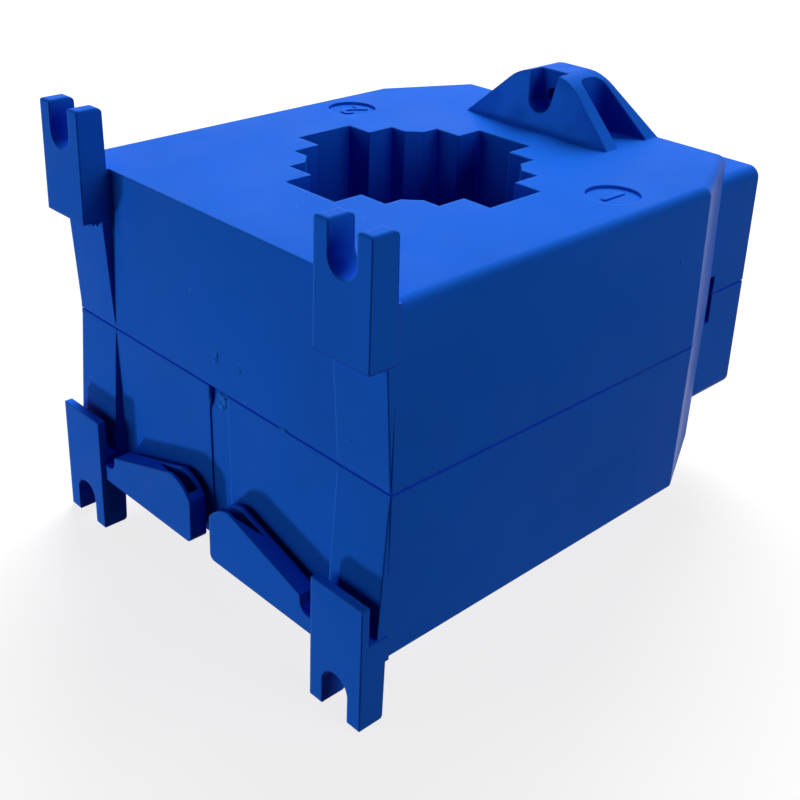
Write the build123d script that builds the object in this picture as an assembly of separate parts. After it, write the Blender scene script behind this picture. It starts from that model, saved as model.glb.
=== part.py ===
from build123d import *
import math
import os

# Driving dimensions in millimetres and degrees.
# Housing, two half shells that meet on a joint plane half way up the window.
shell_height = 25.5
wall = 1.6
draft = 0.8
back_corner_width = 8.0
back_corner_depth = 16.2
back_corner_radius = 1.2
upper_rim_radius = 1.6
lower_rim_radius = 0.6
lip_height = 1.4
lip_clearance = 0.08
joint_groove = 0.25

# Stepped window for flat bars laid either way and for a round conductor.
wide_bar_slot = 40.8
wide_bar_height = 10.7
thick_bar_slot = 31.0
thick_bar_height = 20.6
round_bar_hole = 32.4
window_wall = 1.4

# What the flat face leaves round the window, which the housing's size follows.
side_margin = 15.1
front_margin = 16.8
back_margin = 22.1

# Forked mounting feet at the four corners of the base face.
foot_reach = 9.3
fork_prong = 2.45
fork_slot = 5.0
fork_slot_centre = 5.1
fork_depth = 4.3
fork_corner_radius = 0.45
fork_back_radius = 0.9
fork_back_draft = 1.2
upper_fork_height = 17.0
pad_slope = 3.9

# Hook plate that rises from each lower fork, with a gap behind it.
hook_thickness = 1.3
hook_root_height = 13.5
hook_height = 19.5

# Spring arms between the lower forks, measured from the shell's flat face.
arm_thickness = 2.8
arm_front = 3.6
arm_gap = 4.7
arm_end_height = 7.1
arm_crest_height = 9.9
arm_crest_offset = 4.7
arm_root_height = 5.1
arm_notch_width = 3.0
arm_notch_height = 2.6
arm_notch_radius = 1.7
arm_corner_radius = 1.0
arm_pocket_depth = 4.2
arm_pocket_step = 1.6
arm_pocket_width = 1.65
arm_pocket_start = 0.85
arm_pocket_length = 9.6
arm_skin = 0.45

# Saddle shaped screw lug behind the window, on both shells.
lug_setback = 1.6
lug_depth = 13.3
lug_base_width = 29.9
lug_top_width = 9.8
lug_crown_radius = 7.6
lug_front_slope = 10.5
lug_back_slope = 19.5
lug_slot = 4.6
lug_slot_depth = 4.3
lug_slot_flare = 8.0
lug_hole = 2.4
lug_hole_depth = 5.0
lug_core_width = 9.8
lug_notch_mouth = 7.6
lug_notch_end = 4.9
lug_notch_radius = 1.8
lug_front_plate = 2.75
lug_edge_radius = 0.6

# Shallow marks of the mould: a round pad for each number and the gate's strip.
mark_diameter = 8.0
mark_depth = 0.4
mark_margin = 7.8
mark_behind = 12.5
gate_width = 4.3
gate_offset = 0.45
gate_depth = 0.2
gate_root_depth = 0.7
gate_root_height = 3.2

# Terminal box on the far face, hollow round the two screw terminals.
box_margin = 9.4
box_depth = 12.6
box_height = 20.3
box_edge_radius = 2.0
catch_slot_start = 2.0
catch_slot_width = 1.4
catch_slot_height = 8.5
catch_slot_rise = 3.2
catch_slot_depth = 1.0
terminal_pitch = 26.0
terminal_pocket_width = 17.0
terminal_pocket_height = 20.0
terminal_pocket_depth = 8.0
terminal_pocket_radius = 1.0

# Secondary terminals.
terminal_width = 11.0
terminal_height = 12.0
terminal_thickness = 1.5
tail_width = 4.0
tail_thickness = 1.0
screw_diameter = 4.0
screw_length = 7.0
screw_head = 7.6
screw_head_height = 2.6
screw_slot_width = 1.1
screw_slot_length = 4.6
screw_slot_depth = 1.4
washer_size = 8.6
washer_thickness = 1.2
nut_size = 7.0
nut_thickness = 3.0
thread_clearance = 0.05
terminal_clearance = 0.1

# Ring core, its insulation and its secondary winding.
ring_clearance = 0.5
end_ring_thickness = 0.8
core_tape = 0.3
winding_thickness = 1.1
winding_gap = 10.0
outer_tape = 0.3
tape_seam = 1.5
cushion_thickness = 1.2
cushion_width = 5.0

# Leads from the winding to the tails of the terminals.
lead_diameter = 1.3
lead_exit = 1.2
lead_run = 3.0
lead_bend = 1.0
lead_drop = 2.05
sleeve_wall = 0.3
sleeve_clearance = 0.03
solder_length = 2.0
solder_width = 2.4
solder_depth = 1.9
solder_gap = 0.15

# Derived places. The joint plane is z = 0 and the base face is y = 0 while the
# pieces are built, and every finished piece is then moved to its final frame.
body_width = wide_bar_slot + 2 * side_margin
window_setback = front_margin + wide_bar_slot / 2
body_depth = window_setback + wide_bar_slot / 2 + back_margin
box_width = body_width - 2 * box_margin
total_depth = fork_depth + body_depth + box_depth
joint_level = shell_height + foot_reach
final_place = Location((0, fork_depth - total_depth / 2, joint_level))
half_width = body_width / 2
draft_shift = shell_height * math.tan(math.radians(draft))
inner_height = shell_height - wall
fork_width = fork_slot + 2 * fork_prong
fork_centre = half_width - fork_width / 2
fork_inner = half_width - fork_width
slot_level = shell_height + fork_slot_centre
foot_level = shell_height + foot_reach
lug_front = body_depth - lug_setback - lug_depth
box_end = body_depth + box_depth
pocket_floor = box_end - terminal_pocket_depth
terminal_x = terminal_pitch / 2
tail_x = terminal_x - terminal_width / 2

# Ring of the core: it stands clear of the window wall and of the outer wall.
window_corner = max(
    math.hypot(wide_bar_slot / 2, wide_bar_height / 2),
    math.hypot(thick_bar_slot / 2, thick_bar_height / 2),
    round_bar_hole / 2,
)
ring_inner = window_corner + window_wall + ring_clearance
ring_outer = min(half_width - draft_shift, window_setback) - wall - ring_clearance
ring_top = inner_height - cushion_thickness
winding_inner = ring_inner + outer_tape
winding_outer = ring_outer - outer_tape
winding_top = ring_top - outer_tape
tape_inner = winding_inner + winding_thickness
tape_outer = winding_outer - winding_thickness
tape_top = winding_top - winding_thickness
core_inner = tape_inner + core_tape
core_outer = tape_outer - core_tape
core_top = tape_top - core_tape - end_ring_thickness
lead_turn = window_setback + ring_outer + lead_run
tail_start = lead_turn + lead_drop


def body_outline(inset=0.0):
    """Plan of the housing at the joint plane, without the terminal box."""
    side = half_width - inset
    near = inset
    far = body_depth - inset
    corner_start = body_depth - back_corner_depth
    corner_length = math.hypot(back_corner_width, back_corner_depth)
    side_shift = inset * (corner_length - back_corner_width) / back_corner_depth
    far_shift = inset * (corner_length - back_corner_depth) / back_corner_width
    corner_x = half_width - back_corner_width
    return Polygon(
        (-side, near),
        (side, near),
        (side, corner_start - side_shift),
        (corner_x - far_shift, far),
        (-corner_x + far_shift, far),
        (-side, corner_start - side_shift),
        align=None,
    )


def window_outline():
    """Union of the bar slots, each laid both ways, and the round hole."""
    outline = Circle(round_bar_hole / 2)
    for width, height in ((wide_bar_slot, wide_bar_height), (thick_bar_slot, thick_bar_height)):
        outline += Rectangle(width, height)
        outline += Rectangle(height, width)
    return Pos(0, window_setback, 0) * outline


def block(x_low, x_high, y_low, y_high, z_low, z_high):
    """Box given by its two corners."""
    size = (x_high - x_low, y_high - y_low, z_high - z_low)
    centre = ((x_high + x_low) / 2, (y_high + y_low) / 2, (z_high + z_low) / 2)
    return Pos(*centre) * Box(*size)


def both_sides(piece):
    """A piece and its mirror image across the middle of the object."""
    return piece + mirror(piece, about=Plane.YZ)


def outer_body(rim_radius):
    """One tapered half of the housing with its rounded rim and back corners."""
    body = extrude(body_outline(), amount=shell_height, taper=draft)
    upright = [
        edge
        for edge in body.edges()
        if edge.length > shell_height / 2
        and abs(edge.tangent_at(0.5).Z) > 0.9
        and edge.center().Y > body_depth / 2
    ]
    body = fillet(upright, back_corner_radius)
    top = body.faces().sort_by(Axis.Z)[-1]
    rim = [edge for edge in top.edges() if edge.center().Y > 2 * draft_shift + 0.5]
    return fillet(rim, rim_radius)


def terminal_box():
    """Half of the box on the far face that carries the terminals."""
    solid = block(-box_width / 2, box_width / 2, body_depth - wall, box_end, 0, box_height)
    top_face = solid.faces().sort_by(Axis.Z)[-1]
    side_edges = [edge for edge in top_face.edges() if abs(edge.center().X) > box_width / 3]
    return fillet(side_edges, box_edge_radius)


def lug():
    """Saddle shaped lug with a flared screw slot in front and a notch in each flank."""
    base = shell_height - upper_rim_radius
    top_half = lug_top_width / 2
    front = Polygon(
        (-lug_base_width / 2, base),
        (lug_base_width / 2, base),
        (lug_base_width / 2, shell_height),
        (top_half, foot_level),
        (-top_half, foot_level),
        (-lug_base_width / 2, shell_height),
        align=None,
    )
    front = fillet([v for v in front.vertices() if v.Y > foot_level - 0.01], lug_crown_radius)
    lean_front = foot_reach * math.tan(math.radians(lug_front_slope))
    lean_back = foot_reach * math.tan(math.radians(lug_back_slope))
    lug_back = lug_front + lug_depth
    side = Polygon(
        (lug_front, base),
        (lug_back, base),
        (lug_back, shell_height),
        (lug_back - lean_back, foot_level),
        (lug_front + lean_front, foot_level),
        (lug_front, shell_height),
        align=None,
    )
    side = fillet([v for v in side.vertices() if v.Y > foot_level - 0.01], lug_edge_radius)
    solid = extrude(Plane.XZ.offset(-lug_back) * front, amount=lug_depth)
    solid &= extrude(Plane.YZ.offset(-lug_base_width / 2) * side, amount=lug_base_width)
    slot_end = lug_front + lug_slot_depth
    hole = Pos(0, slot_level) * Circle(lug_hole / 2)
    solid -= extrude(Plane.XZ.offset(-slot_end) * lug_slot_outline(), amount=lug_slot_depth + 1)
    solid -= extrude(Plane.XZ.offset(-slot_end - lug_hole_depth) * hole, amount=lug_hole_depth + 1)
    return solid - both_sides(lug_notch())


def lug_slot_outline():
    """Front view of the lug's slot: a round floor and sides that flare out."""
    flare = math.radians(lug_slot_flare)
    radius = lug_slot / 2
    touch_x = radius * math.cos(flare)
    touch_y = slot_level - radius * math.sin(flare)
    top = foot_level + 1
    top_x = touch_x + (top - touch_y) * math.tan(flare)
    sides = Polygon((-touch_x, touch_y), (touch_x, touch_y), (top_x, top), (-top_x, top), align=None)
    return sides + Pos(0, slot_level) * Circle(radius)


def lug_notch():
    """Notch in the lug's right flank, open to the top and to the side."""
    inner = lug_core_width / 2
    outer = lug_base_width / 2 + 1
    middle = lug_front + lug_front_plate + lug_notch_mouth / 2
    plan = Polygon(
        (inner, middle - lug_notch_end / 2),
        (outer, middle - lug_notch_mouth / 2),
        (outer, middle + lug_notch_mouth / 2),
        (inner, middle + lug_notch_end / 2),
        align=None,
    )
    plan = fillet([v for v in plan.vertices() if v.X < inner + 0.01], lug_notch_radius)
    return extrude(Plane.XY.offset(shell_height) * plan, amount=foot_reach + 1)


def mould_marks():
    """Round shallow recesses in the flat face, one for each number."""
    place = Pos(half_width - mark_margin, window_setback + mark_behind, shell_height)
    mark = place * Cylinder(mark_diameter / 2, 2 * mark_depth)
    return both_sides(mark)


def gate_strip():
    """Shallow strip down the base face, deeper where it meets the joint."""
    section = Polygon(
        (-1, 0),
        (gate_root_depth, 0),
        (gate_depth + draft_shift * gate_root_height / shell_height, gate_root_height),
        (gate_depth + draft_shift, shell_height),
        (-1, shell_height),
        align=None,
    )
    return extrude(Plane.YZ.offset(gate_offset - gate_width / 2) * section, amount=gate_width)


def corner_pads():
    """Sloping pads on the base face that carry the forks."""
    rise = shell_height * math.tan(math.radians(pad_slope))
    section = Polygon((0, 0), (wall / 2, 0), (wall / 2, shell_height), (-rise, shell_height), align=None)
    pad = extrude(Plane.YZ.offset(fork_inner) * section, amount=fork_width - draft_shift / 2)
    return both_sides(pad)


def fork(side_profile):
    """Both forks of a shell: the slotted front view cut to the given side view."""
    height = max(hook_height, upper_fork_height)
    front = Pos(fork_centre, foot_level - height / 2) * Rectangle(fork_width, height)
    mouth = foot_level - slot_level + 1
    front -= Pos(fork_centre, slot_level) * Circle(fork_slot / 2)
    front -= Pos(fork_centre, slot_level + mouth / 2) * Rectangle(fork_slot, mouth)
    front = fillet([v for v in front.vertices() if v.Y > foot_level - 0.01], fork_corner_radius)
    reach = fork_depth + 2 * draft_shift
    solid = extrude(Plane.XZ.offset(-2 * draft_shift) * front, amount=reach)
    return both_sides(solid & extrude(Plane.YZ.offset(fork_inner - 1) * side_profile, amount=fork_width + 2))


def rounded_tip(profile):
    """Rounds the tip of a fork's side view, more at the back than in front."""
    middle = -fork_depth / 2
    tip = [v for v in profile.vertices() if v.Y > foot_level - 0.01]
    profile = fillet([v for v in tip if v.X > middle], fork_back_radius)
    tip = [v for v in profile.vertices() if v.Y > foot_level - 0.01]
    return fillet([v for v in tip if v.X < middle], fork_corner_radius)


def fork_back():
    """How far the back of a fork leans forward at its tip."""
    return foot_reach * math.tan(math.radians(fork_back_draft))


def upper_forks():
    """Plain solid forks."""
    root = foot_level - upper_fork_height
    outline = Polygon(
        (-fork_depth, root),
        (draft_shift, root),
        (0, shell_height),
        (-fork_back(), foot_level),
        (-fork_depth, foot_level),
        align=None,
    )
    return fork(rounded_tip(outline))


def lower_forks():
    """Forks with a thin plate that stands up in front, leaving a gap behind it."""
    root = foot_level - hook_root_height
    top = foot_level - hook_height
    plate_back = hook_thickness - fork_depth
    outline = Polygon(
        (-fork_depth, top),
        (plate_back, top),
        (plate_back, root),
        (draft_shift, root),
        (0, shell_height),
        (-fork_back(), foot_level),
        (-fork_depth, foot_level),
        align=None,
    )
    return fork(rounded_tip(outline))


def arm_profile():
    """Front view of one spring arm, drawn up from the shell's flat face."""
    inner = arm_gap / 2
    crest = inner + arm_crest_offset
    bend = (inner + arm_crest_offset * 0.4, arm_end_height + (arm_crest_height - arm_end_height) * 0.66)
    notch = fork_inner - arm_notch_width
    root = fork_inner + fork_prong
    end = ThreePointArc((inner, arm_end_height), bend, (crest, arm_crest_height))
    edge = Polyline(
        (crest, arm_crest_height),
        (notch, arm_root_height),
        (notch, arm_notch_height),
        (root, arm_notch_height),
        (root, 0),
        (inner, 0),
        (inner, arm_end_height),
    )
    profile = make_face([end] + edge.edges())
    corner = [v for v in profile.vertices() if v.X < inner + 0.01 and v.Y < 0.01]
    profile = fillet(corner, arm_corner_radius)
    notch_floor = [v for v in profile.vertices() if abs(v.X - notch) < 0.01 and v.Y < arm_notch_height + 0.01]
    return fillet(notch_floor, arm_notch_radius)


def spring_arms():
    """Two arms that reach from the lower forks towards the middle."""
    level = -shell_height
    arm = extrude(Plane.XZ.offset(arm_front - arm_thickness) * arm_profile(), amount=arm_thickness)
    arm = Pos(0, 0, level) * arm
    front = -arm_front + arm_skin
    start = arm_gap / 2 + arm_pocket_start
    end = start + arm_pocket_length
    plan = Polygon(
        (start, front),
        (start + arm_pocket_length / 2, front),
        (end, front + arm_pocket_width),
        (start, front + arm_pocket_width),
        align=None,
    )
    top = level + arm_crest_height
    floor = top - arm_pocket_depth
    section = Polygon(
        (start, floor + arm_pocket_step),
        (start + arm_pocket_step, floor),
        (end, floor),
        (end, top + 1),
        (start, top + 1),
        align=None,
    )
    pocket = extrude(Plane.XY.offset(floor) * plan, amount=arm_pocket_depth + 1)
    pocket &= extrude(Plane.XZ * section, amount=arm_front)
    return both_sides(arm - pocket)


def cavity():
    """Room inside one shell, around the window wall."""
    room = extrude(body_outline(wall), amount=inner_height, taper=draft)
    sleeve = extrude(offset(window_outline(), window_wall), amount=inner_height + 1)
    return room - sleeve


def lip_ring(clearance, height):
    """Inner part of the outer wall, all round the inside of the joint."""
    return extrude(body_outline(wall / 2 + clearance) - body_outline(wall), amount=height)


def joint_cut():
    """Half of the fine groove that marks the joint all round the outside."""
    outline = body_outline() + Pos(0, box_end / 2) * Rectangle(box_width, box_end)
    inner = body_outline(joint_groove)
    inner += Pos(0, (box_end - joint_groove) / 2) * Rectangle(
        box_width - 2 * joint_groove, box_end - 3 * joint_groove
    )
    return extrude(offset(outline, joint_groove) - inner, amount=joint_groove / 2)


def box_room():
    """Room inside the terminal box, round the block that carries the terminals."""
    side = box_width / 2 - wall
    start = body_depth - 1.5 * wall
    room = block(-side, side, start, box_end - wall, 0, box_height - wall)
    carrier = terminal_x + terminal_pocket_width / 2 + wall
    ceiling = terminal_pocket_height / 2 + wall
    keep = block(-carrier, carrier, body_depth - wall, box_end, -1, ceiling)
    rails = block(carrier - 1, side + 1, body_depth - wall, box_end, -1, catch_slot_rise + wall)
    return room - keep - both_sides(rails)


def terminal_cuts():
    """Pockets, nut seats, screw ends and tail slots of both terminals."""
    half_pocket = terminal_pocket_width / 2
    pocket = block(
        terminal_x - half_pocket,
        terminal_x + half_pocket,
        pocket_floor,
        box_end + 1,
        -1,
        terminal_pocket_height / 2,
    )
    corners = [e for e in pocket.edges().filter_by(Axis.Y) if e.center().Z > 0]
    pocket = fillet(corners, terminal_pocket_radius)
    half_nut = nut_size / 2 + terminal_clearance
    seat_end = pocket_floor - nut_thickness
    seat = block(terminal_x - half_nut, terminal_x + half_nut, seat_end, pocket_floor + 1, -1, half_nut)
    screw_end = pocket_floor - screw_grip() - 0.6
    end_hole = rod(screw_diameter / 2 + terminal_clearance, screw_end, pocket_floor)
    slot = block(
        tail_x - terminal_clearance,
        tail_x + tail_thickness + terminal_clearance,
        body_depth - 2.5 * wall,
        pocket_floor + 1,
        -1,
        tail_width / 2 + terminal_clearance,
    )
    return both_sides(pocket + seat + end_hole + slot)


def catch_slots():
    """Narrow slots in the sides of the terminal box, close to the body."""
    start = body_depth + catch_slot_start
    slot = block(
        box_width / 2 - catch_slot_depth,
        box_width / 2 + 1,
        start,
        start + catch_slot_width,
        catch_slot_rise - catch_slot_height,
        catch_slot_rise,
    )
    return both_sides(slot)


def shell_blank(rim_radius):
    """What the two shells share, drawn as the upper one."""
    solid = outer_body(rim_radius) + terminal_box() + lug() + corner_pads()
    solid -= extrude(window_outline(), amount=shell_height + 1)
    solid -= cavity() + box_room()
    return solid - terminal_cuts() - joint_cut() - mould_marks()


def upper_shell():
    """Upper half, with plain forks and the tongue of the joint."""
    tongue = mirror(lip_ring(lip_clearance, lip_height) - terminal_cuts(), about=Plane.XY)
    return shell_blank(upper_rim_radius) + upper_forks() - catch_slots() + tongue


def lower_shell():
    """Lower half, with hook forks, spring arms and the rebate of the joint."""
    solid = shell_blank(lower_rim_radius) + lower_forks()
    solid -= gate_strip() + lip_ring(0.0, lip_height + lip_clearance)
    return mirror(solid, about=Plane.XY) + spring_arms() - catch_slots()


def screw_grip():
    """Length of screw below the surface that the terminal rests on."""
    return screw_length - washer_thickness - terminal_thickness


def rod(radius, y_low, y_high):
    """Round bar along Y at a terminal's centre."""
    length = y_high - y_low
    return Pos(terminal_x, (y_high + y_low) / 2, 0) * Rot(90, 0, 0) * Cylinder(radius, length)


def ring(inner, outer, half_height, gap=0.0):
    """Ring of rectangular section, open by gap degrees on its far side."""
    section = Plane.XZ * Pos((inner + outer) / 2, 0) * Rectangle(outer - inner, 2 * half_height)
    return far_side(revolve(section, axis=Axis.Z, revolution_arc=360 - gap), gap)


def skin(inner, outer, half_height, thickness, gap):
    """Skin that wraps a ring of the given size, open by gap degrees."""
    room = Rectangle(outer - inner, 2 * half_height)
    section = Rectangle(outer - inner + 2 * thickness, 2 * (half_height + thickness)) - room
    section = Plane.XZ * Pos((inner + outer) / 2, 0) * section
    return far_side(revolve(section, axis=Axis.Z, revolution_arc=360 - gap), gap)


def far_side(solid, gap):
    """Turns a part ring so that its gap faces the terminals, round the window."""
    return Pos(0, window_setback, 0) * Rot(0, 0, 90 + gap / 2) * solid


def cushion():
    """Soft ring between the wound ring and the upper shell."""
    middle = (ring_inner + ring_outer) / 2
    solid = ring(middle - cushion_width / 2, middle + cushion_width / 2, cushion_thickness / 2)
    return Pos(0, 0, ring_top + cushion_thickness / 2) * solid


def end_ring():
    """Stiff ring of board on the upper face of the core."""
    return Pos(0, 0, core_top + end_ring_thickness / 2) * ring(core_inner, core_outer, end_ring_thickness / 2)


def lead_start(back):
    """Point of the right lead's middle line, back from the winding's end."""
    radius = tape_outer + lead_diameter / 2 + sleeve_clearance
    angle = math.radians(winding_gap / 2)
    across = radius * math.sin(angle) - back * math.cos(angle)
    depth = window_setback + radius * math.cos(angle) + back * math.sin(angle)
    return Vector(across, depth, 0)


def lead_path(low_y, high_y):
    """Middle line of the right lead, on its way to the terminal's tail."""
    step = lead_start(lead_exit).X
    end_x = tail_x - lead_diameter / 2 - solder_gap
    points = [(step, low_y, 0), (step, lead_turn, 0), (end_x, lead_turn, 0), (end_x, high_y, 0)]
    return FilletPolyline(*points, radius=lead_bend)


def along(path, radius):
    """Round bar that follows a path."""
    start = Plane(origin=path @ 0, z_dir=path % 0)
    return sweep(start * Circle(radius), path=path)


def lead():
    """Right lead: the end of the wire, led out to the terminal's tail."""
    bend = lead_start(lead_exit)
    solid = along(lead_path(bend.Y, tail_start + solder_length + 0.3), lead_diameter / 2)
    solid += along(Line(tuple(lead_start(0)), tuple(bend)), lead_diameter / 2)
    return solid + Pos(bend) * Sphere(lead_diameter / 2)


def sleeve():
    """Insulating sleeve over the right lead."""
    low_y = lead_start(lead_exit).Y + lead_diameter
    path = lead_path(low_y, tail_start - 0.1)
    bore = lead_diameter / 2 + sleeve_clearance
    return along(path, bore + sleeve_wall) - along(path, bore)


def terminal():
    """Right terminal: flat plate with a hole and a tail that enters the shell."""
    plate = block(
        tail_x,
        tail_x + terminal_width,
        pocket_floor,
        pocket_floor + terminal_thickness,
        -terminal_height / 2,
        terminal_height / 2,
    )
    tail = block(
        tail_x,
        tail_x + tail_thickness,
        tail_start,
        pocket_floor + terminal_thickness / 2,
        -tail_width / 2,
        tail_width / 2,
    )
    hole = rod(screw_diameter / 2 + terminal_clearance, pocket_floor - 1, pocket_floor + 2 * terminal_thickness)
    return plate + tail - hole


def solder_joint():
    """Solder that holds the end of the right lead on the tail."""
    end_y = tail_start + solder_length + 0.2
    solid = block(
        tail_x - solder_depth,
        tail_x,
        end_y - solder_length,
        end_y,
        -solder_width / 2,
        solder_width / 2,
    )
    return fillet(solid.edges().filter_by(Axis.Y).group_by(Axis.X)[0], solder_width / 4) - lead()


def washer():
    """Square clamp washer under the screw's head."""
    start = pocket_floor + terminal_thickness
    half = washer_size / 2
    plate = block(
        terminal_x - half, terminal_x + half, start, start + washer_thickness, -half, half
    )
    plate = chamfer(plate.edges().filter_by(Axis.Y), washer_thickness)
    return plate - rod(screw_diameter / 2 + terminal_clearance, start - 1, start + 2 * washer_thickness)


def screw():
    """Terminal screw with a crossed drive."""
    seat = pocket_floor + terminal_thickness + washer_thickness
    top = seat + screw_head_height
    shank = rod(screw_diameter / 2, seat - screw_length, seat)
    shank = chamfer(shank.edges().sort_by(Axis.Y)[0], screw_diameter / 8)
    head = rod(screw_head / 2, seat, top)
    head = fillet(head.edges().sort_by(Axis.Y)[-1], screw_head_height / 3)
    bar = Pos(terminal_x, top, 0) * Box(screw_slot_length, 2 * screw_slot_depth, screw_slot_width)
    drive = bar + Pos(terminal_x, top, 0) * Box(screw_slot_width, 2 * screw_slot_depth, screw_slot_length)
    return shank + head - drive


def nut():
    """Square nut held behind the terminal."""
    half = nut_size / 2
    solid = block(
        terminal_x - half, terminal_x + half, pocket_floor - nut_thickness, pocket_floor, -half, half
    )
    return solid - rod(screw_diameter / 2 + thread_clearance, pocket_floor - 2 * nut_thickness, pocket_floor + 1)


def save(name, solid):
    """Moves a finished piece to its final frame and writes it."""
    export_step(final_place * solid, f"parts/{name}.step")


def left(solid):
    """The same piece on the other side of the middle."""
    return mirror(solid, about=Plane.YZ)


def pair(solid):
    """Two equal pieces, one on each side, written as one."""
    return Compound([solid, left(solid)])


def main():
    os.makedirs("parts", exist_ok=True)
    save("upper_shell", upper_shell())
    save("lower_shell", lower_shell())
    save("core", ring(core_inner, core_outer, core_top))
    save("upper_end_ring", end_ring())
    save("lower_end_ring", mirror(end_ring(), about=Plane.XY))
    save("core_tape", skin(core_inner, core_outer, core_top + end_ring_thickness, core_tape, tape_seam))
    save("winding", skin(tape_inner, tape_outer, tape_top, winding_thickness, winding_gap))
    save("outer_tape", skin(winding_inner, winding_outer, winding_top, outer_tape, winding_gap))
    save("upper_cushion", cushion())
    save("lower_cushion", mirror(cushion(), about=Plane.XY))
    save("right_lead", lead())
    save("left_lead", left(lead()))
    save("right_sleeve", sleeve())
    save("left_sleeve", left(sleeve()))
    save("right_terminal", terminal())
    save("left_terminal", left(terminal()))
    save("solder_joints", pair(solder_joint()))
    save("clamp_washers", pair(washer()))
    save("terminal_screws", pair(screw()))
    save("terminal_nuts", pair(nut()))


if __name__ == "__main__":
    main()
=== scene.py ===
import math
from typing import NamedTuple

import bmesh
import bpy
from bpy.props import FloatProperty, FloatVectorProperty, IntProperty, PointerProperty
from mathutils import Matrix, Vector, noise


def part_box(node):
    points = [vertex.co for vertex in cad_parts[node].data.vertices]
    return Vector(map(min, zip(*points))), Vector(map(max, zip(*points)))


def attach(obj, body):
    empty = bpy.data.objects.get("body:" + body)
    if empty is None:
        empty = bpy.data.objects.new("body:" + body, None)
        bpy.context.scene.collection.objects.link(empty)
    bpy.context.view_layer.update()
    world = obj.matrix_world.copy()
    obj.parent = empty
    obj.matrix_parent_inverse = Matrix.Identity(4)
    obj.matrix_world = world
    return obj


bl_info = {
    "name": "Window current transformer",
    "version": (1, 0, 0),
    "blender": (4, 5, 0),
    "location": "View3D > Sidebar > Transformer",
    "description": "Dresses a moulded window current transformer and its studio",
    "category": "Object",
}

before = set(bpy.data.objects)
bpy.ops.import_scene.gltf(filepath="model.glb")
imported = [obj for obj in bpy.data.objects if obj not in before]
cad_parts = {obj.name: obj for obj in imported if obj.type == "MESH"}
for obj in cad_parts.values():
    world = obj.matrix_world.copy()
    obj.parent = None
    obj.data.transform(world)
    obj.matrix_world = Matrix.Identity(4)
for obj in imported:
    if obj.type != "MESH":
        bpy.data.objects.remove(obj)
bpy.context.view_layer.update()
MM = 0.001
UP = (0.0, 0.0, 1.0)
TOWARDS_BASE = (0.0, -1.0, 0.0)

# Places that the housing's own nodes give, in metres.
SHELL_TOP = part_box("upper_shell")[1].z
JOINT_LEVEL = SHELL_TOP / 2
FORK_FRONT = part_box("upper_shell")[0].y
HALF_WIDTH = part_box("upper_shell")[1].x
RING_CENTRE = (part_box("core")[0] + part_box("core")[1]) / 2

# Places on the housing in metres, as the CAD part has them.
BASE_FACE = FORK_FRONT + 4.3 * MM
SHELL_HEIGHT = 25.5 * MM
FLAT_TOP = JOINT_LEVEL + SHELL_HEIGHT
FLAT_BOTTOM = JOINT_LEVEL - SHELL_HEIGHT
FORK_WIDTH = 9.9 * MM
UPPER_FORK_ROOT = SHELL_TOP - 17.0 * MM
GATE_X = 0.45 * MM
GATE_WIDTH = 4.3 * MM

# Where the side faces end and the chamfers start.
CHAMFER_START = BASE_FACE + 63.5 * MM

# The middle of the slope on the lugs' front faces.
LUG_FRONT = BASE_FACE + 65.6 * MM

# The round pads on the flat faces, and how far a number is sunk into a pad's floor.
PAD_X = 27.7 * MM
PAD_Y = BASE_FACE + 49.7 * MM
PAD_DEPTH = 0.4 * MM
NUMBER_SINK = 0.03 * MM

# Half of a digit's thickness and the roll of its edges, as shares of its height before it is sized.
DIGIT_HALF_DEPTH = 0.06
DIGIT_EDGE = 0.015

# The names of the housing's two finishes.
BLUE = "blue_moulded_plastic"
TORN = "torn_plastic"

# How strongly the plastic mirrors what stands round it.
PLASTIC_GLOSS = 0.018

# The polish coat on the chamfer strips, which shows at a glancing angle, and how strongly a painted
# highlight makes the strips paler.
RUBBED_POLISH = 0.15
POLISH_ROUGHNESS = 0.3
CHAMFER_HIGHLIGHT_SHARE = 0.15

# How far away a wall still counts for the painted shade in a crease, or in the window and other
# enclosed places.
CREASE_REACH = 0.7 * MM
WINDOW_REACH = 40.0 * MM

# How many rays look round a point for its shade and its rolled edge.
EDGE_SAMPLES = 6

# The way that the edges with a painted highlight face; edges that face away get painted shade.
LIT_EDGES = (-0.6, 0.0, 0.8)

# The plastic's painted shade on walls and painted bounced light on ledges in enclosed places,
# painted edge highlights and shade, painted crease shade, a painted highlight on the chamfers and a
# painted sheen on the lugs, and its own pale dust and dark dots.
SHADED_WALL = (0.0, 0.016, 0.35)
SHADED_LEDGE = (0.002, 0.07, 1.0)
PAINTED_EDGE_HIGHLIGHT = (0.02, 0.15, 0.62)
PAINTED_EDGE_SHADE = (0.0, 0.02, 0.3)
DEEP_CREASE = (0.004, 0.07, 0.9)
PAINTED_CHAMFER_HIGHLIGHT = (0.09, 0.25, 0.92)
PAINTED_LUG_SHEEN = (0.015, 0.18, 0.76)
PALE_DUST = (0.1, 0.27, 0.72)
DARK_SPECK = (0.0, 0.03, 0.25)

# The camera that the photograph was taken with, solved from the housing's straight edges.
CAMERA_PLACE = Vector((128.4, -136.2, 120.3)) * MM
CAMERA_AZIMUTH = 46.17
CAMERA_ELEVATION = 24.28
CAMERA_ROLL = 1.79
CAMERA_SENSOR = 36.0
CAMERA_LENS = 57.26
CAMERA_SHIFT = (0.0254, -0.1285)

# Where the lamps stand, in metres from the middle of the housing, and how wide they are.
KEY_TOWARDS = Vector((-3.0, -3.9, -3.5)).normalized() * 0.6
TOP_TOWARDS = Vector((-0.35, 0.4, 0.55))
FRONT_TOWARDS = Vector((-0.5, -1.12, 0.2))
SIDE_TOWARDS = Vector((0.4, 0.06, 0.13))
KEY_WIDTH = 0.05
TOP_WIDTH = 0.5
FRONT_WIDTH = 0.6
SIDE_WIDTH = 0.25

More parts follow.
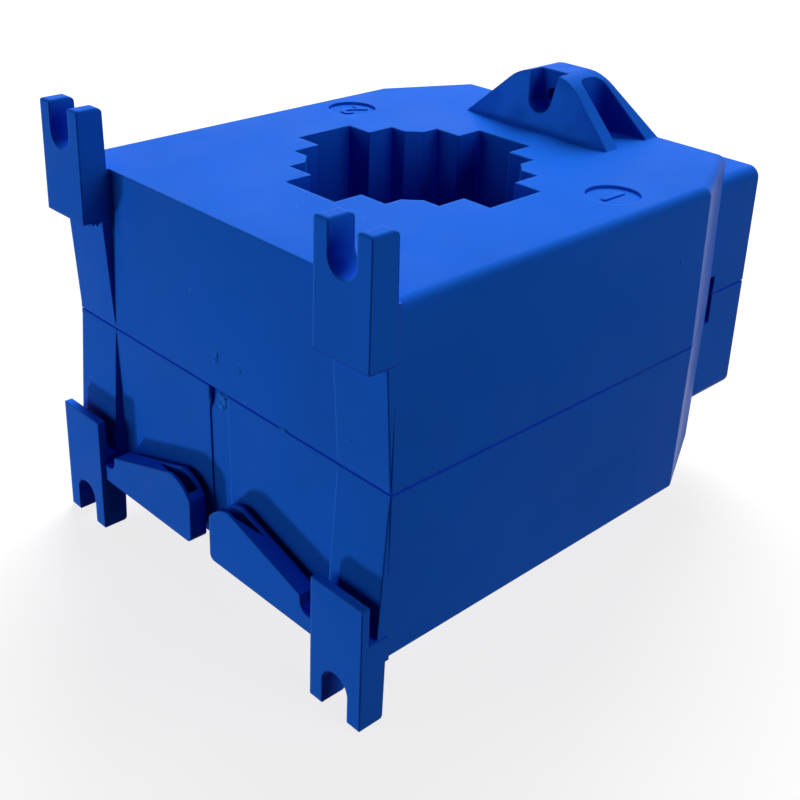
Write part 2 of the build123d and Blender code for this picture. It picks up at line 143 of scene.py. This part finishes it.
# The floor's half width in metres, its colour, and what the camera sees of it.
FLOOR_REACH = 3.0
FLOOR_COLOR = (0.8, 0.8, 0.8)
FLOOR_GLOW = 0.8
FLOOR_SHADOW_COLOR = (0.16, 0.16, 0.16, 1.0)

# The share of the room's light that comes from straight below.
LIGHT_FROM_BELOW = 0.35


class TransformerSettings(bpy.types.PropertyGroup):
    """Colours and finish of the transformer."""

    housing_color: FloatVectorProperty(
        name="Housing colour",
        description="Colour of the moulded housing",
        subtype="COLOR",
        default=(0.006, 0.088, 0.5),
        min=0.0,
        max=1.0,
    )
    housing_roughness: FloatProperty(
        name="Housing roughness",
        description="How matt the moulded housing is",
        default=0.42,
        min=0.05,
        max=1.0,
        subtype="FACTOR",
    )
    edge_radius: FloatProperty(
        name="Edge radius",
        description="How far the light rolls over the moulded edges",
        default=0.00045,
        min=0.0,
        max=0.002,
        unit="LENGTH",
    )
    number_height: FloatProperty(
        name="Number height",
        description="Height of the raised numbers on the flat faces",
        default=0.0046,
        min=0.002,
        max=0.0075,
        unit="LENGTH",
    )
    number_relief: FloatProperty(
        name="Number relief",
        description="How far the numbers stand up from the floor of their pads",
        default=0.00024,
        min=0.0001,
        max=0.0005,
        unit="LENGTH",
    )
    winding_turns: IntProperty(
        name="Winding turns",
        description="Turns of wire that show round the ring",
        default=132,
        min=20,
        max=400,
    )
    strip_pitch: FloatProperty(
        name="Core strip pitch",
        description="Thickness of one layer of the wound core",
        default=0.0004,
        min=0.0001,
        max=0.002,
        unit="LENGTH",
    )


class StudioSettings(bpy.types.PropertyGroup):
    """Strength of the studio's lamps."""

    key_power: FloatProperty(
        name="Key lamp",
        description="Power of the small lamp low before the base face, in watts",
        default=1.85,
        min=0.0,
        max=50.0,
    )
    top_power: FloatProperty(
        name="Top lamp",
        description="Power of the soft lamp overhead, in watts",
        default=12.2,
        min=0.0,
        max=50.0,
    )
    front_power: FloatProperty(
        name="Front lamp",
        description="Power of the soft lamp before the base face, in watts",
        default=5.1,
        min=0.0,
        max=50.0,
    )
    side_power: FloatProperty(
        name="Side lamp",
        description="Power of the soft lamp on the right, in watts",
        default=0.78,
        min=0.0,
        max=50.0,
    )
    room_strength: FloatProperty(
        name="Room light",
        description="Strength of the light from all around",
        default=0.05,
        min=0.0,
        max=2.0,
    )


def opaque(color):
    """A colour of three numbers gets the fourth that its socket wants."""
    return (*color, 1.0) if isinstance(color, tuple) else color


class Nodes:
    """A node tree and small helpers to add to it."""

    def __init__(self, tree):
        self.tree = tree

    def node(self, kind, **settings):
        """A new node with its settings."""
        made = self.tree.nodes.new(kind)
        for name, value in settings.items():
            setattr(made, name, value)
        return made

    def link(self, source, target):
        """One socket linked to another."""
        self.tree.links.new(source, target)

    def feed(self, target, value):
        """A socket is linked, and a number or colour is written on the input itself."""
        if isinstance(value, bpy.types.NodeSocket):
            self.link(value, target)
        else:
            target.default_value = value

    def math(self, operation, first, second=0.0):
        """The result of a sum on sockets or numbers."""
        made = self.node("ShaderNodeMath", operation=operation)
        self.feed(made.inputs[0], first)
        self.feed(made.inputs[1], second)
        return made.outputs[0]

    def background_rays(self):
        """One for rays that see the background by eye, in a mirror or through glass."""
        path = self.node("ShaderNodeLightPath")
        seen = self.math("MAXIMUM", path.outputs["Is Camera Ray"], path.outputs["Is Glossy Ray"])
        return self.math("MAXIMUM", seen, path.outputs["Is Transmission Ray"])


class Finish(Nodes):
    """A material, with the patterns and masks that the pieces share."""

    def __init__(self, name, color, roughness, metallic=0.0):
        self.material = bpy.data.materials.new(name)
        self.material.use_nodes = True
        super().__init__(self.material.node_tree)
        self.shader = self.tree.nodes["Principled BSDF"]
        self.set("Base Color", opaque(color))
        self.set("Roughness", roughness)
        self.set("Metallic", metallic)
        self.place = self.node("ShaderNodeTexCoord").outputs["Object"]

    def set(self, socket, value):
        """A plain value on one of the shader's own inputs."""
        self.shader.inputs[socket].default_value = value

    def drive(self, socket, value):
        """A pattern on one of the shader's inputs."""
        self.link(value, self.shader.inputs[socket])

    def mapped(self, value, low, high, to_low=0.0, to_high=1.0):
        """A value eased from one range to another."""
        made = self.node("ShaderNodeMapRange", interpolation_type="SMOOTHSTEP")
        self.feed(made.inputs["Value"], value)
        made.inputs["From Min"].default_value = low
        made.inputs["From Max"].default_value = high
        made.inputs["To Min"].default_value = to_low
        made.inputs["To Max"].default_value = to_high
        return made.outputs["Result"]

    def noise(self, scale, detail):
        """Soft noise in the piece's own coordinates."""
        made = self.node("ShaderNodeTexNoise")
        self.link(self.place, made.inputs["Vector"])
        made.inputs["Scale"].default_value = scale
        made.inputs["Detail"].default_value = detail
        return made.outputs["Fac"]

    def cloud(self, scale, detail, to_low=0.0, to_high=1.0):
        """Noise spread over the whole range from low to high."""
        return self.mapped(self.noise(scale, detail), 0.3, 0.7, to_low, to_high)

    def mix_color(self, factor, first, second):
        """One colour turning into another."""
        made = self.node("ShaderNodeMix", data_type="RGBA")
        self.feed(made.inputs["Factor"], factor)
        self.feed(made.inputs[6], opaque(first))
        self.feed(made.inputs[7], opaque(second))
        return made.outputs[2]

    def over(self, under, tone, mask, strength=1.0):
        """A tone laid over a colour where the mask is."""
        return self.mix_color(self.math("MULTIPLY", mask, strength), under, tone)

    def split(self, vector=None):
        """The X, Y and Z of a vector, or of the place on the piece."""
        made = self.node("ShaderNodeSeparateXYZ")
        self.link(vector or self.place, made.inputs[0])
        return made.outputs

    def around_ring(self):
        """X, Y and Z measured from the middle of the ring core."""
        made = self.node("ShaderNodeMapping", vector_type="TEXTURE")
        self.link(self.place, made.inputs["Vector"])
        made.inputs["Location"].default_value = RING_CENTRE
        return self.split(made.outputs[0])

    def squares(self, first, second):
        """The sum of two squares."""
        first = self.math("MULTIPLY", first, first)
        return self.math("ADD", first, self.math("MULTIPLY", second, second))

    def specks(self, scale, radius, share):
        """One where a stray dot sits, in the given share of the pattern's cells."""
        made = self.node("ShaderNodeTexVoronoi")
        self.link(self.place, made.inputs["Vector"])
        made.inputs["Scale"].default_value = scale
        close = self.math("LESS_THAN", made.outputs["Distance"], radius)
        chosen = self.math("LESS_THAN", self.split(made.outputs["Color"])["X"], share)
        return self.math("MULTIPLY", close, chosen)

    def openness(self, distance):
        """How much of the space round a point is free, out to the given distance."""
        made = self.node("ShaderNodeAmbientOcclusion", samples=EDGE_SAMPLES)
        made.inputs["Distance"].default_value = distance
        return made.outputs["AO"]

    def rounded_normal(self, radius):
        """The surface's direction, rolled over its sharp edges."""
        made = self.node("ShaderNodeBevel", samples=EDGE_SAMPLES)
        made.inputs["Radius"].default_value = radius
        return made.outputs["Normal"]

    def turned_towards(self, normal, direction):
        """How far a normal points the given way."""
        made = self.node("ShaderNodeVectorMath", operation="DOT_PRODUCT")
        self.link(normal, made.inputs[0])
        self.feed(made.inputs[1], direction)
        return made.outputs["Value"]

    def edge_masks(self, normal):
        """Where surfaces meet in a crease, and where they meet in an outer edge: the masks for the
        painted crease shade and the painted edge highlights and shade.
        """
        open_share = self.openness(CREASE_REACH)
        creases = self.mapped(open_share, 0.85, 0.35)
        flat_normal = self.node("ShaderNodeNewGeometry").outputs["Normal"]
        edges = self.mapped(self.turned_towards(normal, flat_normal), 0.995, 0.9)
        outer_edges = self.math("MULTIPLY", edges, self.mapped(open_share, 0.85, 0.97))
        return creases, outer_edges

    def chamfer_highlight_strip(self, normal):
        """The strip up each chamfer, strongest where it meets the side face, that gets a painted
        highlight and a glossy coat.
        """
        place = self.split()
        back = self.math("SUBTRACT", place["Y"], CHAMFER_START)
        fading = self.mapped(back, 9.0 * MM, 0.2 * MM)
        started = self.mapped(back, -0.3 * MM, 0.1 * MM)
        across = self.math("ABSOLUTE", place["X"])
        outside = self.mapped(across, HALF_WIDTH - 7 * MM, HALF_WIDTH - 5 * MM)
        upright = self.mapped(self.turned_towards(normal, UP), 0.85, 0.4)
        strip = self.math("MULTIPLY", fading, started)
        return self.math("MULTIPLY", strip, self.math("MULTIPLY", outside, upright))

    def lug_sheen(self, normal):
        """A blotchy painted sheen on the faces of the lugs that look towards the window."""
        place = self.split()
        level = self.math("ABSOLUTE", self.math("SUBTRACT", place["Z"], JOINT_LEVEL))
        raised = self.mapped(level, SHELL_HEIGHT + 0.1 * MM, SHELL_HEIGHT + 1.2 * MM)
        away = self.math("ABSOLUTE", self.math("SUBTRACT", place["Y"], LUG_FRONT))
        near = self.mapped(away, 2.4 * MM, 1.6 * MM)
        facing = self.mapped(self.turned_towards(normal, TOWARDS_BASE), 0.7, 0.95)
        blotches = self.mapped(self.noise(170.0, 1.0), 0.35, 0.65, 0.4, 0.85)
        there = self.math("MULTIPLY", raised, near)
        return self.math("MULTIPLY", there, self.math("MULTIPLY", facing, blotches))

    def bump(self, height, distance, strength, normal=None):
        """A normal that follows a relief, on top of the given one."""
        made = self.node("ShaderNodeBump")
        self.link(height, made.inputs["Height"])
        made.inputs["Distance"].default_value = distance
        made.inputs["Strength"].default_value = strength
        if normal is not None:
            self.link(normal, made.inputs["Normal"])
        return made.outputs[0]


def lighter(color, share):
    """A colour that is lighter by a share, or darker where the share is below zero."""
    return tuple(min(1.0, part * (1.0 + share)) for part in color)


def blue_plastic():
    """Satin moulded plastic with soft edges, a fine mould texture and stray specks, and with
    painted shade, highlights and sheen in its colour.
    """
    wanted = bpy.context.scene.transformer
    color = tuple(wanted.housing_color)
    roughness = wanted.housing_roughness
    finish = Finish(BLUE, color, roughness)
    finish.set("Specular IOR Level", PLASTIC_GLOSS)
    finish.set("Coat Roughness", POLISH_ROUGHNESS)
    normal = finish.rounded_normal(wanted.edge_radius)

    # The moulded colour, a little cloudy, with pale dust and small dark dots.
    body = finish.mix_color(finish.cloud(38.0, 3.0), lighter(color, -0.05), lighter(color, 0.05))
    dust = finish.specks(scale=330.0, radius=0.05, share=0.2)
    dark_dots = finish.specks(scale=150.0, radius=0.025, share=1.0)
    body = finish.over(body, PALE_DUST, dust, 0.5)
    body = finish.over(body, DARK_SPECK, dark_dots, 0.8)

    # Painted shade in enclosed places such as the window: walls get a dark deep blue, and ledges
    # that face up a bright blue that stands in for bounced light.
    upward = finish.mapped(finish.turned_towards(normal, UP), 0.3, 0.8)
    shade = finish.mix_color(upward, SHADED_WALL, SHADED_LEDGE)
    body = finish.over(body, shade, finish.mapped(finish.openness(WINDOW_REACH), 0.65, 0.3), 0.9)

    # Outer edges get a painted highlight where they face LIT_EDGES and painted shade where they
    # face away.
    creases, outer_edges = finish.edge_masks(normal)
    lit = finish.mapped(finish.turned_towards(normal, LIT_EDGES), 0.05, 0.35)
    body = finish.over(body, finish.mix_color(lit, PAINTED_EDGE_SHADE, PAINTED_EDGE_HIGHLIGHT), outer_edges, 0.7)
    # Creases get painted shade in a deep saturated blue.
    body = finish.over(body, DEEP_CREASE, creases, 0.8)

    # The chamfer strips get a painted highlight under a glossy coat, and the lugs' faces a blotchy
    # painted sheen.
    chamfer_strip = finish.chamfer_highlight_strip(normal)
    body = finish.over(body, PAINTED_CHAMFER_HIGHLIGHT, chamfer_strip, CHAMFER_HIGHLIGHT_SHARE)
    body = finish.over(body, PAINTED_LUG_SHEEN, finish.lug_sheen(normal))
    finish.drive("Base Color", body)
    finish.drive("Coat Weight", finish.math("MULTIPLY", chamfer_strip, RUBBED_POLISH))

    # The skin is uneven in its gloss, faintly sunk in places and finely grained.
    finish.drive("Roughness", finish.cloud(120.0, 4.0, roughness - 0.04, roughness + 0.05))
    sunk = finish.bump(finish.noise(42.0, 1.0), 0.0004, 0.35, normal)
    finish.drive("Normal", finish.bump(finish.noise(2600.0, 2.0), 0.000012, 0.5, sunk))
    return finish.material


def torn_plastic():
    """Paler, rougher plastic, as where a gate or a flash was torn off."""
    color = tuple(bpy.context.scene.transformer.housing_color)
    finish = Finish(TORN, color, 0.6)
    finish.set("Specular IOR Level", PLASTIC_GLOSS)
    crazed = finish.mapped(finish.noise(1900.0, 3.0), 0.42, 0.72)
    paler = tuple(min(1.0, part + lift) for part, lift in zip(color, (0.02, 0.12, 0.14)))
    finish.drive("Base Color", finish.mix_color(crazed, color, paler))
    finish.drive("Normal", finish.bump(finish.noise(2300.0, 3.0), 0.00012, 0.8))
    return finish.material


def mottled(name, color, roughness, scale, spread, metallic=0.0, grain=0.00002):
    """A finish with a mottle in its colour and a fine grain."""
    finish = Finish(name, color, roughness, metallic)
    mottle = finish.cloud(scale, 3.0)
    tones = lighter(color, -spread), lighter(color, spread)
    finish.drive("Base Color", finish.mix_color(mottle, *tones))
    finish.drive("Roughness", finish.cloud(scale * 3.0, 3.0, roughness - 0.06, roughness + 0.08))
    finish.drive("Normal", finish.bump(finish.noise(scale * 14.0, 2.0), grain, 0.5))
    return finish.material


def wound_strip():
    """Thin steel strip wound into a ring, with its layers on the end faces."""
    pitch = bpy.context.scene.transformer.strip_pitch
    finish = Finish("wound_strip_steel", (0.3, 0.31, 0.33), 0.38, 1.0)
    across = finish.around_ring()
    radius = finish.math("SQRT", finish.squares(across["X"], across["Y"]))
    layers = finish.math("SINE", finish.math("MULTIPLY", radius, 2.0 * math.pi / pitch))
    shade = finish.mapped(layers, -1.0, 1.0)
    finish.drive("Base Color", finish.mix_color(shade, (0.16, 0.16, 0.17), (0.42, 0.43, 0.45)))
    finish.drive("Normal", finish.bump(shade, 0.00008, 0.6))
    return finish.material


def wrapped(name, color, roughness, wraps, relief, metallic=0.0, depth=0.35):
    """Something wrapped round the ring: turns of wire or overlapping turns of tape."""
    finish = Finish(name, color, roughness, metallic)
    across = finish.around_ring()
    angle = finish.math("ARCTAN2", across["Y"], across["X"])
    crest = finish.mapped(finish.math("SINE", finish.math("MULTIPLY", angle, wraps)), -1.0, 1.0)
    darker = lighter(color, -depth)
    tone = finish.mix_color(crest, darker, color)
    finish.drive("Base Color", finish.over(tone, darker, finish.cloud(70.0, 2.0), 0.25))
    finish.drive("Normal", finish.bump(crest, relief, 0.9))
    return finish.material


def dress(node, material):
    """A CAD node keeps its mesh and takes the finish."""
    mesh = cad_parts[node].data
    mesh.materials.clear()
    mesh.materials.append(material)


class TRANSFORMER_OT_housing(bpy.types.Operator):
    """Finish the two moulded half shells."""

    bl_idname = "transformer.housing"
    bl_label = "Housing"

    def execute(self, context):
        plastic = blue_plastic()
        torn_plastic()
        for node in ("upper_shell", "lower_shell"):
            dress(node, plastic)
        return {"FINISHED"}


def add_piece(name, shape, material):
    """A finished piece at its place, riding on the part's one body."""
    mesh = bpy.data.meshes.new(name)
    bmesh.ops.recalc_face_normals(shape, faces=shape.faces)
    shape.to_mesh(mesh)
    shape.free()
    mesh.materials.append(bpy.data.materials[material])
    piece = bpy.data.objects.new(name, mesh)
    bpy.context.scene.collection.objects.link(piece)
    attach(piece, "root")
    return piece


def digit_shape(digit, height, relief):
    """A raised digit that stands on the floor plane, centred on the origin."""
    curve = bpy.data.curves.new("digit", "FONT")
    curve.body = digit
    curve.extrude = DIGIT_HALF_DEPTH
    curve.bevel_depth = DIGIT_EDGE
    curve.bevel_resolution = 1
    curve.resolution_u = 4
    shown = bpy.data.objects.new("digit", curve)
    bpy.context.scene.collection.objects.link(shown)
    bpy.context.view_layer.update()
    mesh = bpy.data.meshes.new_from_object(shown)
    bpy.data.objects.remove(shown)
    shape = bmesh.new()
    shape.from_mesh(mesh)
    bpy.data.meshes.remove(mesh)
    bmesh.ops.remove_doubles(shape, verts=shape.verts, dist=0.0005)
    low = Vector([min(vert.co[axis] for vert in shape.verts) for axis in range(3)])
    high = Vector([max(vert.co[axis] for vert in shape.verts) for axis in range(3)])
    bmesh.ops.translate(shape, vec=-(low + high) / 2, verts=shape.verts)
    flat = height / (high.y - low.y)
    bmesh.ops.scale(shape, vec=(flat, flat, relief / (high.z - low.z)), verts=shape.verts)
    return shape


class TRANSFORMER_OT_numbers(bpy.types.Operator):
    """Raise a plain number on each round pad of both flat faces."""

    bl_idname = "transformer.numbers"
    bl_label = "Numbers"

    def execute(self, context):
        wanted = context.scene.transformer
        rise = wanted.number_relief / 2 - NUMBER_SINK
        top = FLAT_TOP - PAD_DEPTH + rise
        bottom = FLAT_BOTTOM + PAD_DEPTH - rise
        for name, digit, across, level, axis in (
            ("upper_number_1", "1", PAD_X, top, "Z"),
            ("upper_number_2", "2", -PAD_X, top, "Z"),
            ("lower_number_1", "1", -PAD_X, bottom, "X"),
            ("lower_number_2", "2", PAD_X, bottom, "X"),
        ):
            shape = digit_shape(digit, wanted.number_height, wanted.number_relief)
            half_turn = Matrix.Rotation(math.pi, 4, axis)
            place = Matrix.Translation((across, PAD_Y, level)) @ half_turn
            bmesh.ops.transform(shape, matrix=place, verts=shape.verts)
            add_piece(name, shape, BLUE)
        return {"FINISHED"}


class Mark(NamedTuple):
    """A small lump that moulding or use left.

    Its centre and size are in millimetres, with Z from the joint's level. Its roughness is how
    far its skin stands in or out, as a share of its size, and its seed is where in the noise that
    skin is taken from, so that no two lumps are alike.
    """

    name: str
    material: str
    centre: tuple
    size: tuple
    roughness: float
    seed: float


# In millimetres: the right side face, the base face, the middle of the gate and its left edge.
SIDE = HALF_WIDTH / MM
BASE = BASE_FACE / MM
GATE = GATE_X / MM
GATE_LEFT = (GATE_X - GATE_WIDTH / 2) / MM

# The torn gate and its flake, the bead in the joint, and the scars and scuffs.
MARKS = (
    Mark("gate_stub", TORN, (GATE + 0.55, BASE + 0.36, -1.75), (1.55, 0.36, 1.5), 0.3, 3.0),
    Mark("gate_flake", TORN, (GATE_LEFT + 0.02, BASE + 0.05, -1.95), (0.42, 0.34, 1.75), 0.12, 8.0),
    Mark("joint_bead", BLUE, (SIDE - 0.15, 8.5, 0.0), (0.15, 8.6, 0.17), 0.05, 34.8),
    Mark("face_scar", TORN, (0.13, BASE + 0.17, 5.2), (0.6, 0.16, 1.35), 0.9, 40.0),
    Mark("small_scar", TORN, (5.4, BASE + 0.17, 5.1), (0.45, 0.15, 0.9), 0.9, 39.9),
    Mark("side_scuff", TORN, (SIDE - 0.3, 13.8, 15.3), (0.14, 0.5, 0.9), 0.9, 50.1),
    Mark("low_scuff", TORN, (SIDE - 0.12, 14.5, 7.0), (0.08, 0.3, 0.45), 0.9, 41.8),
    Mark("joint_scuff", TORN, (SIDE - 0.01, 4.3, 0.15), (0.05, 0.9, 0.07), 0.4, 34.95),
    Mark("joint_flake", TORN, (15.0, BASE + 0.05, 0.12), (0.95, 0.17, 0.2), 0.5, 34.92),
)

# How close together the lumps on a torn skin sit, the large ones and then the small.
COARSE_SKIN = 1.9
FINE_SKIN = 2.7


def torn_lump(mark):
    """A lump with an uneven skin, as torn plastic has."""
    shape = bmesh.new()
    bmesh.ops.create_icosphere(shape, subdivisions=4, radius=1.0)
    for vert in shape.verts:
        spot = vert.co * COARSE_SKIN + Vector((mark.seed, 0.0, 0.0))
        uneven = noise.noise(spot) + 0.5 * noise.noise(spot * FINE_SKIN)
        vert.co *= 1.0 + mark.roughness * uneven
    centre = Vector(mark.centre) * MM + Vector((0.0, 0.0, JOINT_LEVEL))
    bmesh.ops.scale(shape, vec=Vector(mark.size) * MM, verts=shape.verts)
    bmesh.ops.translate(shape, vec=centre, verts=shape.verts)
    return shape


def torn_strip(start, end, drop, thickness, seed):
    """A thin hanging fin with an uneven lower edge."""
    steps = 60
    least = 0.08
    shape = bmesh.new()
    bmesh.ops.create_grid(shape, x_segments=steps, y_segments=2, size=0.5)
    for vert in shape.verts:
        along = vert.co.x + 0.5
        down = 0.5 - vert.co.y
        ragged = 0.55 + 0.9 * noise.noise(Vector((along * 6.0 + seed, 0.0, 0.0)))
        vert.co = start.lerp(end, along) - Vector((0.0, 0.0, down * drop * max(ragged, least)))
    bmesh.ops.recalc_face_normals(shape, faces=shape.faces)
    bmesh.ops.solidify(shape, geom=shape.faces[:], thickness=thickness)
    return shape


class TRANSFORMER_OT_moulding(bpy.types.Operator):
    """Add what moulding leaves: the torn gate, the joint's bead, scars and a fork's flash."""

    bl_idname = "transformer.moulding"
    bl_label = "Moulding marks"

    def execute(self, context):
        for mark in MARKS:
            add_piece(mark.name, torn_lump(mark), mark.material)
        sunk = 0.06 * MM
        lap = 0.04 * MM
        side = FORK_WIDTH - HALF_WIDTH - sunk
        root = UPPER_FORK_ROOT + lap
        flash = torn_strip(
            Vector((side, FORK_FRONT + 0.9 * MM, root)),
            Vector((side, BASE_FACE - 0.15 * MM, root)),
            drop=0.75 * MM,
            thickness=0.12 * MM,
            seed=1.0,
        )
        add_piece("fork_flash", flash, TORN)
        return {"FINISHED"}


class TRANSFORMER_OT_core(bpy.types.Operator):
    """Finish the ring core, its boards, tapes and cushions."""

    bl_idname = "transformer.core"
    bl_label = "Core"

    def execute(self, context):
        dress("core", wound_strip())
        board = mottled("pressed_board", (0.42, 0.27, 0.13), 0.8, 300.0, 0.2, grain=0.00006)
        dress("upper_end_ring", board)
        dress("lower_end_ring", board)
        inner_tape = wrapped("inner_film_tape", (0.72, 0.55, 0.12), 0.35, 26, 0.00012)
        dress("core_tape", inner_tape)
        outer_tape = wrapped("outer_film_tape", (0.72, 0.66, 0.45), 0.4, 22, 0.00014, depth=0.15)
        dress("outer_tape", outer_tape)
        foam = mottled("foam_cushion", (0.035, 0.035, 0.04), 0.95, 700.0, 0.5, grain=0.0002)
        dress("upper_cushion", foam)
        dress("lower_cushion", foam)
        return {"FINISHED"}


class TRANSFORMER_OT_winding(bpy.types.Operator):
    """Finish the secondary winding, its leads and their sleeves."""

    bl_idname = "transformer.winding"
    bl_label = "Winding"

    def execute(self, context):
        turns = context.scene.transformer.winding_turns
        copper = (0.5, 0.16, 0.05)
        dress("winding", wrapped("enamelled_turns", copper, 0.3, turns, 0.0004, metallic=0.85))
        wire = mottled("enamelled_wire", copper, 0.28, 150.0, 0.12, metallic=0.85)
        rubber = mottled("black_sleeve", (0.014, 0.014, 0.016), 0.6, 200.0, 0.15)
        for side in ("right", "left"):
            dress(side + "_lead", wire)
            dress(side + "_sleeve", rubber)
        return {"FINISHED"}


class TRANSFORMER_OT_terminals(bpy.types.Operator):
    """Finish the terminals, their clamps and their solder."""

    bl_idname = "transformer.terminals"
    bl_label = "Terminals"

    def execute(self, context):
        tinned = mottled("tinned_brass", (0.74, 0.7, 0.6), 0.32, 160.0, 0.08, metallic=1.0)
        zinc = mottled("zinc_plated_steel", (0.62, 0.64, 0.67), 0.28, 220.0, 0.1, metallic=1.0)
        grey = (0.58, 0.58, 0.57)
        solder = mottled("solder", grey, 0.22, 260.0, 0.1, metallic=1.0, grain=0.00005)
        dress("right_terminal", tinned)
        dress("left_terminal", tinned)
        dress("solder_joints", solder)
        for node in ("clamp_washers", "terminal_screws", "terminal_nuts"):
            dress(node, zinc)
        return {"FINISHED"}


def lamp(name, power, place, aim, width):
    """A square soft lamp that faces the aim and leaves no picture of itself in the gloss."""
    light = bpy.data.lights.new(name, "AREA")
    light.size = width
    light.energy = power
    shown = bpy.data.objects.new(name, light)
    bpy.context.scene.collection.objects.link(shown)
    shown.location = place
    shown.rotation_mode = "QUATERNION"
    shown.rotation_quaternion = (aim - place).to_track_quat("-Z", "Y")
    shown.visible_glossy = False


class TRANSFORMER_OT_studio(bpy.types.Operator):
    """Make the floor, the lamps, the room light and the camera."""

    bl_idname = "transformer.studio"
    bl_label = "Studio"

    def execute(self, context):
        scene = context.scene
        wanted = scene.studio
        self.floor()
        centre = Vector((0.0, 0.0, JOINT_LEVEL))
        for name, power, towards, width in (
            ("key_lamp", wanted.key_power, KEY_TOWARDS, KEY_WIDTH),
            ("top_lamp", wanted.top_power, TOP_TOWARDS, TOP_WIDTH),
            ("front_lamp", wanted.front_power, FRONT_TOWARDS, FRONT_WIDTH),
            ("side_lamp", wanted.side_power, SIDE_TOWARDS, SIDE_WIDTH),
        ):
            lamp(name, power, centre + towards, centre, width)
        self.room(wanted.room_strength)
        self.camera(scene)
        scene.view_settings.view_transform = "Standard"
        return {"FINISHED"}

    def floor(self):
        """A white floor that takes the part's shadow and throws no light back at it."""
        mesh = bpy.data.meshes.new("floor")
        shape = bmesh.new()
        bmesh.ops.create_grid(shape, x_segments=1, y_segments=1, size=FLOOR_REACH)
        shape.to_mesh(mesh)
        shape.free()
        floor = bpy.data.objects.new("floor", mesh)
        bpy.context.scene.collection.objects.link(floor)
        floor.visible_shadow = False
        floor.visible_diffuse = False
        finish = Finish("floor_white", FLOOR_COLOR, 0.9)
        glow = finish.node("ShaderNodeEmission")
        glow.inputs["Strength"].default_value = FLOOR_GLOW
        soft = finish.node("ShaderNodeBsdfDiffuse")
        soft.inputs["Color"].default_value = FLOOR_SHADOW_COLOR
        both = finish.node("ShaderNodeAddShader")
        finish.link(soft.outputs[0], both.inputs[0])
        finish.link(glow.outputs[0], both.inputs[1])
        pick = finish.node("ShaderNodeMixShader")
        finish.link(finish.background_rays(), pick.inputs[0])
        finish.link(finish.shader.outputs[0], pick.inputs[1])
        finish.link(both.outputs[0], pick.inputs[2])
        finish.link(pick.outputs[0], finish.tree.nodes["Material Output"].inputs["Surface"])
        mesh.materials.append(finish.material)

    def room(self, strength):
        """White to the camera and in gloss, and a plain light that is stronger from above."""
        world = bpy.data.worlds.new("room")
        bpy.context.scene.world = world
        world.use_nodes = True
        nodes = Nodes(world.node_tree)
        height = nodes.node("ShaderNodeSeparateXYZ")
        nodes.link(nodes.node("ShaderNodeTexCoord").outputs["Generated"], height.inputs[0])
        light = nodes.node("ShaderNodeMapRange")
        nodes.link(height.outputs["Z"], light.inputs["Value"])
        light.inputs["From Min"].default_value = -1.0
        light.inputs["To Min"].default_value = strength * LIGHT_FROM_BELOW
        light.inputs["To Max"].default_value = strength
        level = nodes.node("ShaderNodeMix")
        nodes.link(nodes.background_rays(), level.inputs["Factor"])
        nodes.link(light.outputs[0], level.inputs["A"])
        level.inputs["B"].default_value = 1.0
        back = nodes.tree.nodes["Background"]
        back.inputs["Color"].default_value = (1.0, 1.0, 1.0, 1.0)
        nodes.link(level.outputs[0], back.inputs["Strength"])

    def camera(self, scene):
        """The photograph's camera, turned by its azimuth, elevation and roll."""
        azimuth = math.radians(CAMERA_AZIMUTH)
        elevation = math.radians(CAMERA_ELEVATION)
        roll = math.radians(CAMERA_ROLL)
        level = math.cos(elevation)
        back = Vector((math.sin(azimuth) * level, -math.cos(azimuth) * level, math.sin(elevation)))
        right = Vector(UP).cross(back).normalized()
        up = back.cross(right)
        turned_right = math.cos(roll) * right + math.sin(roll) * up
        turned_up = -math.sin(roll) * right + math.cos(roll) * up
        data = bpy.data.cameras.new("camera")
        data.sensor_width = CAMERA_SENSOR
        data.lens = CAMERA_LENS
        data.shift_x, data.shift_y = CAMERA_SHIFT
        data.clip_start = 0.01
        data.clip_end = 20.0
        camera = bpy.data.objects.new("camera", data)
        scene.collection.objects.link(camera)
        turn = Matrix((turned_right, turned_up, back)).transposed()
        camera.matrix_world = Matrix.Translation(CAMERA_PLACE) @ turn.to_4x4()
        scene.camera = camera


class TRANSFORMER_PT_panel(bpy.types.Panel):
    """Lists the sizes, the colours and the steps that make the part."""

    bl_idname = "TRANSFORMER_PT_panel"
    bl_label = "Transformer"
    bl_space_type = "VIEW_3D"
    bl_region_type = "UI"
    bl_category = "Transformer"

    def draw(self, context):
        layout = self.layout
        for group in (context.scene.transformer, context.scene.studio):
            column = layout.column()
            for name in group.bl_rna.properties.keys():
                if name not in ("rna_type", "name"):
                    column.prop(group, name)
        for step in STEPS:
            layout.operator(step.bl_idname)


STEPS = (
    TRANSFORMER_OT_housing,
    TRANSFORMER_OT_numbers,
    TRANSFORMER_OT_moulding,
    TRANSFORMER_OT_core,
    TRANSFORMER_OT_winding,
    TRANSFORMER_OT_terminals,
    TRANSFORMER_OT_studio,
)
CLASSES = (TransformerSettings, StudioSettings, *STEPS, TRANSFORMER_PT_panel)


def register():
    for one in CLASSES:
        bpy.utils.register_class(one)
    bpy.types.Scene.transformer = PointerProperty(type=TransformerSettings)
    bpy.types.Scene.studio = PointerProperty(type=StudioSettings)


def unregister():
    del bpy.types.Scene.studio
    del bpy.types.Scene.transformer
    for one in reversed(CLASSES):
        bpy.utils.unregister_class(one)


def main():
    register()
    bpy.ops.transformer.housing()
    bpy.ops.transformer.numbers()
    bpy.ops.transformer.moulding()
    bpy.ops.transformer.core()
    bpy.ops.transformer.winding()
    bpy.ops.transformer.terminals()
    bpy.ops.transformer.studio()


if __name__ == "__main__":
    main()
